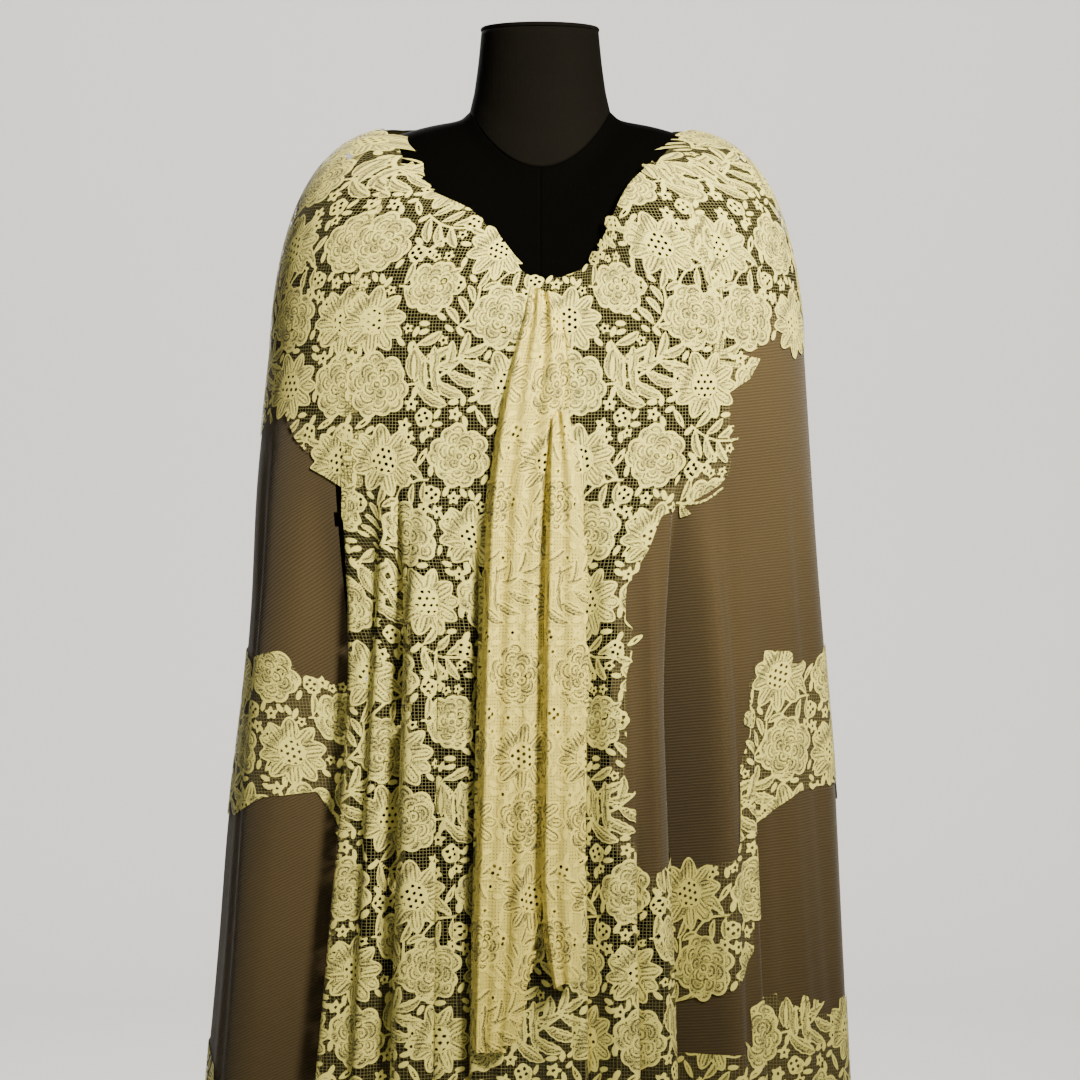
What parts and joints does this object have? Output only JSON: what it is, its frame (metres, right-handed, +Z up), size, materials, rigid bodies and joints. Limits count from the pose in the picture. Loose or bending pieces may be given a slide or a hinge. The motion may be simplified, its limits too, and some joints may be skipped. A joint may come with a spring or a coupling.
{
  "type": "lace shawl on a dress form",
  "caption": "Wide shawl of brown twill with cream floral lace, hung round a black limbless dress form on a round steel stand.",
  "frame": {"origin": "centre of the stand's underside, on the floor", "axes": "+Z up, the shawl's open front faces -Y, +X is to the right of someone looking at the front"},
  "size_m": [0.6018, 0.3825, 1.5],
  "materials": {
    "twill": "fine brown wool twill, soft and matte",
    "lace": "cream corded floral lace on square net, matte with a slight sheen on the cords",
    "jersey": "black cotton jersey stretched over a hard form, matte",
    "stand_steel": "black painted steel, satin"
  },
  "bodies": {
    "root": {"twill_left_side": "twill", "twill_right_side": "twill", "twill_back": "twill", "lace_shoulder_left": "lace", "lace_front_left": "lace", "lace_front_right": "lace", "lace_shoulder_right": "lace", "lace_shoulder_back": "lace", "lace_patch_left": "lace", "lace_patch_right": "lace", "lace_patch_back": "lace", "lace_border_right": "lace", "lace_border_back": "lace", "lace_border_left": "lace", "lace_ruffle_under": "lace", "lace_ruffle_over": "lace", "form_torso": "jersey", "form_neck": "jersey", "form_neck_cap": "jersey", "stand_collar": "stand_steel", "stand_pole": "stand_steel", "stand_base": "stand_steel"}
  },
  "joints": []
}
